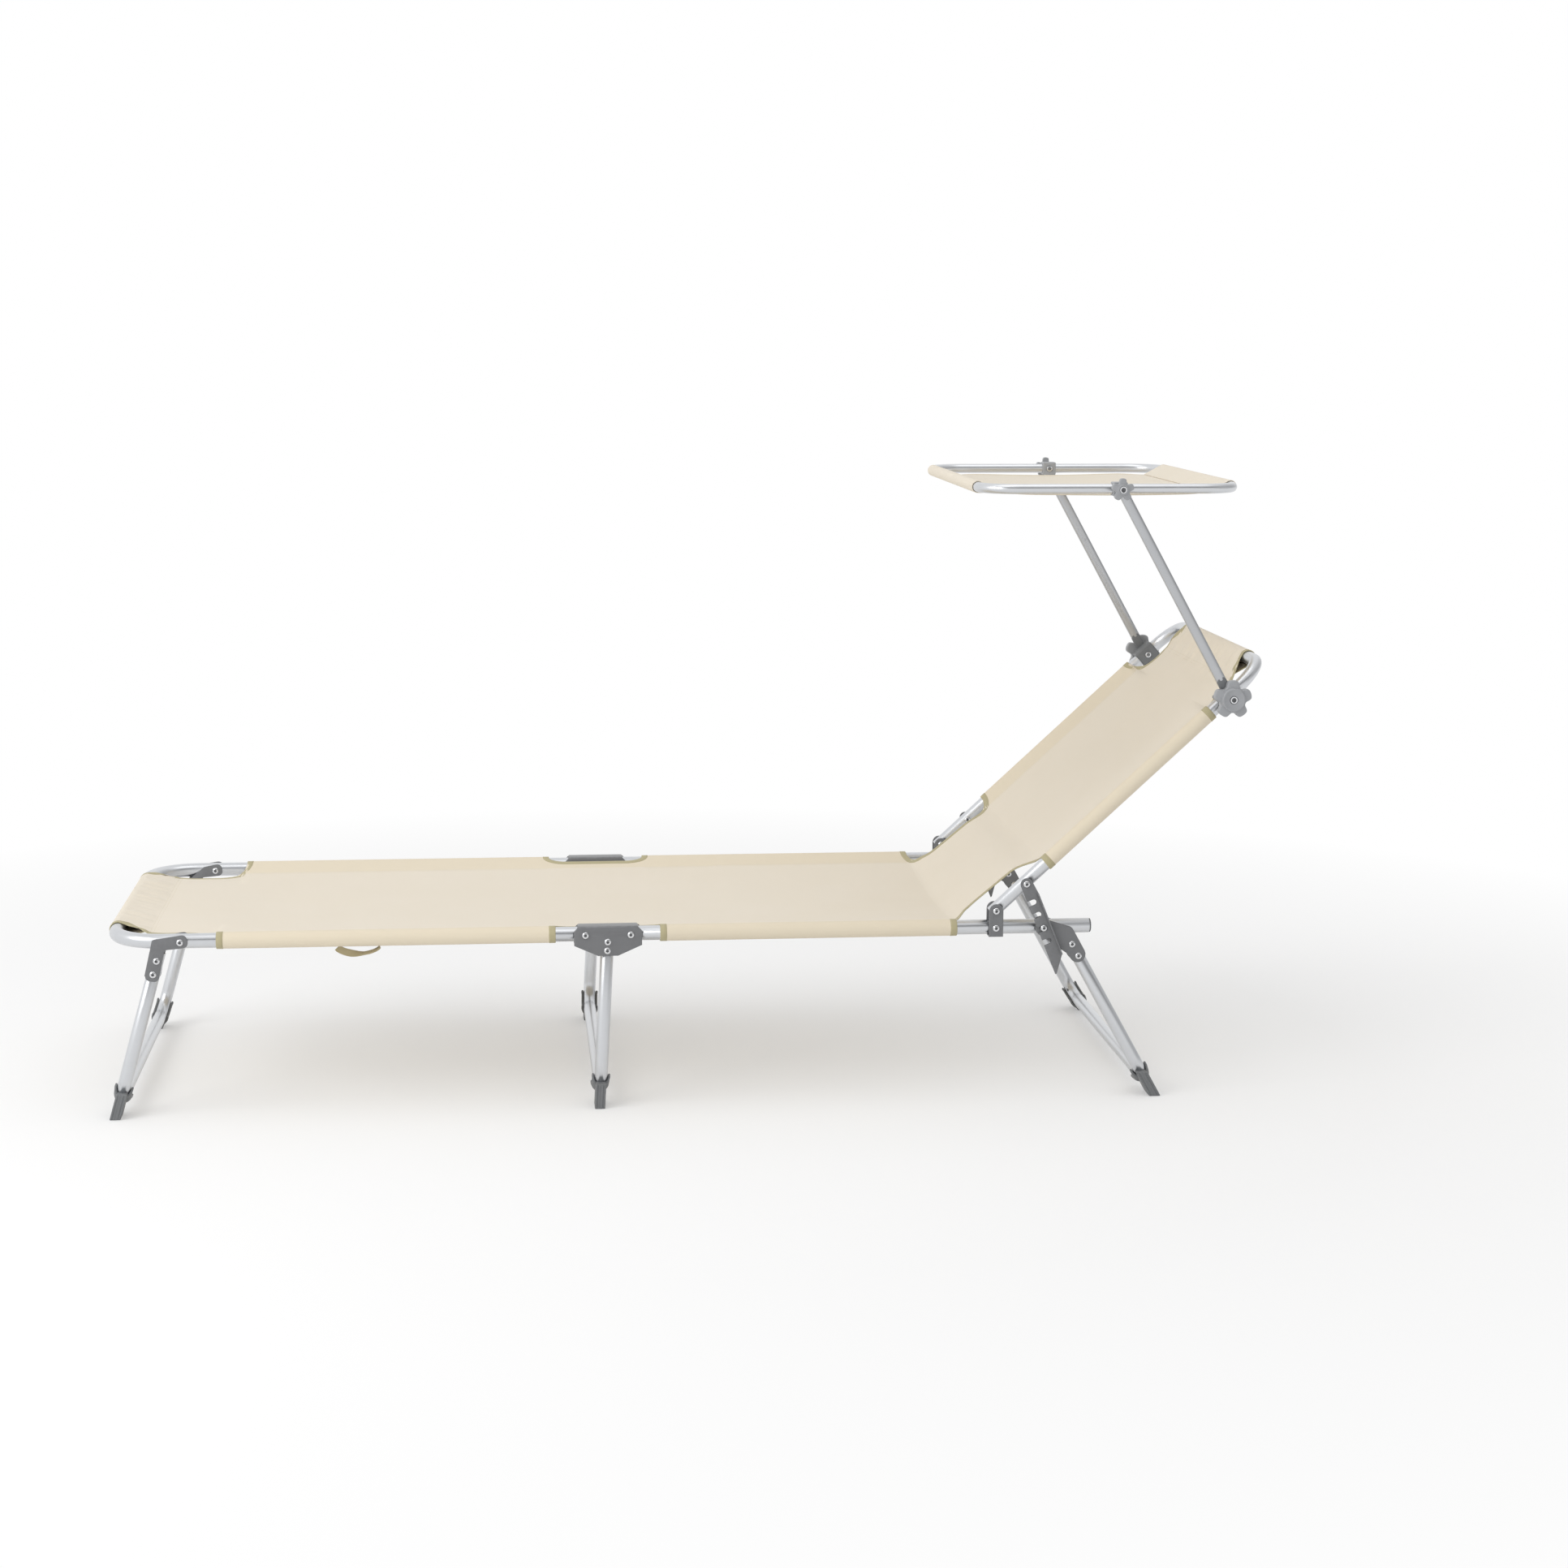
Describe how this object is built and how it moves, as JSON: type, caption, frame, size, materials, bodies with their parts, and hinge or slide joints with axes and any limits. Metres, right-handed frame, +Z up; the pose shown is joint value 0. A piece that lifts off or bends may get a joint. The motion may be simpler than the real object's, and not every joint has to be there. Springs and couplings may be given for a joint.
{
  "type": "sun lounger with canopy",
  "caption": "Folding sun lounger: tube frame with a cloth sling on U-shaped legs, a back propped by notched bars, and a tilting cloth sunshade on posts over the head end.",
  "frame": {"origin": "on the ground, under the middle of the lounger's length and width", "axes": "+X towards the head end, +Y to the sitter's right, +Z up"},
  "size_m": [1.7536, 0.642, 0.9497],
  "materials": {
    "tube": "satin",
    "bracket_steel": "satin dark grey",
    "rivet_steel": "bright",
    "knob_plastic": "matt grey",
    "foot_plastic": "matt dark grey",
    "cloth": "woven, matt"
  },
  "bodies": {
    "seat": {"seat_rail_left": "tube", "seat_rail_right": "tube", "seat_rail_plug_left": "foot_plastic", "seat_rail_plug_right": "foot_plastic", "back_clamp_left": "bracket_steel", "back_clamp_right": "bracket_steel", "back_pivot_pin_left": "rivet_steel", "back_pivot_pin_right": "rivet_steel", "notch_pin_left": "rivet_steel", "notch_pin_right": "rivet_steel", "seat_sling": "cloth"},
    "middle_section": {"middle_bracket_left": "bracket_steel", "middle_bracket_right": "bracket_steel", "foot_fold_pin_left": "rivet_steel", "foot_fold_pin_right": "rivet_steel", "seat_fold_pin_left": "rivet_steel", "seat_fold_pin_right": "rivet_steel", "middle_leg_frame": "tube", "middle_leg_foot_left": "foot_plastic", "middle_leg_foot_right": "foot_plastic", "middle_sling": "cloth"},
    "foot_section": {"foot_frame": "tube", "foot_sling": "cloth", "carry_handle": "cloth", "foot_leg_pin_left": "rivet_steel", "foot_leg_pin_right": "rivet_steel"},
    "foot_legs": {"foot_leg_frame": "tube", "foot_leg_bracket_left": "bracket_steel", "foot_leg_bracket_right": "bracket_steel", "foot_leg_foot_left": "foot_plastic", "foot_leg_foot_right": "foot_plastic"},
    "rear_legs": {"rear_leg_frame": "tube", "rear_leg_bracket_left": "bracket_steel", "rear_leg_bracket_right": "bracket_steel", "rear_leg_foot_left": "foot_plastic", "rear_leg_foot_right": "foot_plastic"},
    "back": {"back_frame": "tube", "back_sling": "cloth", "shade_bracket_left": "bracket_steel", "shade_bracket_right": "bracket_steel", "notch_bar_pin_left": "rivet_steel", "notch_bar_pin_right": "rivet_steel"},
    "notch_bar_left": {"notch_bar_left": "bracket_steel"},
    "notch_bar_right": {"notch_bar_right": "bracket_steel"},
    "shade_posts": {"shade_post_left": "tube", "shade_post_right": "tube", "lower_bolt_left": "rivet_steel", "lower_bolt_right": "rivet_steel"},
    "shade": {"shade_frame": "tube", "shade_cover": "cloth", "shade_clamp_left": "bracket_steel", "shade_clamp_right": "bracket_steel", "upper_bolt_left": "rivet_steel", "upper_bolt_right": "rivet_steel"},
    "lower_knob_left": {"lower_knob_left": "knob_plastic"},
    "lower_knob_right": {"lower_knob_right": "knob_plastic"},
    "upper_knob_left": {"upper_knob_left": "knob_plastic"},
    "upper_knob_right": {"upper_knob_right": "knob_plastic"}
  },
  "joints": [
    {"name": "middle_fold", "type": "hinge", "parent": "seat", "child": "middle_section", "pos_m": [-0.09486, 0, 0.268], "axis": [0, -1, 0], "range_deg": [0, 85]},
    {"name": "foot_fold", "type": "hinge", "parent": "middle_section", "child": "foot_section", "pos_m": [-0.16286, 0, 0.268], "axis": [0, -1, 0], "range_deg": [0, 85]},
    {"name": "foot_leg_fold", "type": "hinge", "parent": "foot_section", "child": "foot_legs", "pos_m": [-0.76186, 0, 0.268], "axis": [0, -1, 0], "range_deg": [0, 100]},
    {"name": "rear_leg_fold", "type": "hinge", "parent": "seat", "child": "rear_legs", "pos_m": [0.53314, 0, 0.268], "axis": [0, 1, 0], "range_deg": [0, 117]},
    {"name": "back_recline", "type": "hinge", "parent": "seat", "child": "back", "pos_m": [0.46014, 0, 0.2945], "axis": [0, -1, 0], "range_deg": [0, 84]},
    {"name": "notch_bar_left_swing", "type": "hinge", "parent": "back", "child": "notch_bar_left", "pos_m": [0.50549, -0.294, 0.3362], "axis": [0, -1, 0], "range_deg": [0, 35]},
    {"name": "notch_bar_right_swing", "type": "hinge", "parent": "back", "child": "notch_bar_right", "pos_m": [0.50549, 0.294, 0.3362], "axis": [0, -1, 0], "range_deg": [0, 35]},
    {"name": "shade_post_swing", "type": "hinge", "parent": "back", "child": "shade_posts", "pos_m": [0.81178, 0, 0.61784], "axis": [0, 1, 0], "range_deg": [-60, 100]},
    {"name": "shade_tilt", "type": "hinge", "parent": "shade_posts", "child": "shade", "pos_m": [0.63725, 0, 0.93271], "axis": [0, 1, 0], "range_deg": [-90, 90]},
    {"name": "lower_knob_left_turn", "type": "hinge", "parent": "shade_posts", "child": "lower_knob_left", "pos_m": [0.81178, -0.312, 0.61784], "axis": [0, 1, 0], "continuous": true},
    {"name": "lower_knob_right_turn", "type": "hinge", "parent": "shade_posts", "child": "lower_knob_right", "pos_m": [0.81178, 0.312, 0.61784], "axis": [0, 1, 0], "continuous": true},
    {"name": "upper_knob_left_turn", "type": "hinge", "parent": "shade_posts", "child": "upper_knob_left", "pos_m": [0.63725, -0.312, 0.93271], "axis": [0, 1, 0], "continuous": true},
    {"name": "upper_knob_right_turn", "type": "hinge", "parent": "shade_posts", "child": "upper_knob_right", "pos_m": [0.63725, 0.312, 0.93271], "axis": [0, 1, 0], "continuous": true}
  ]
}
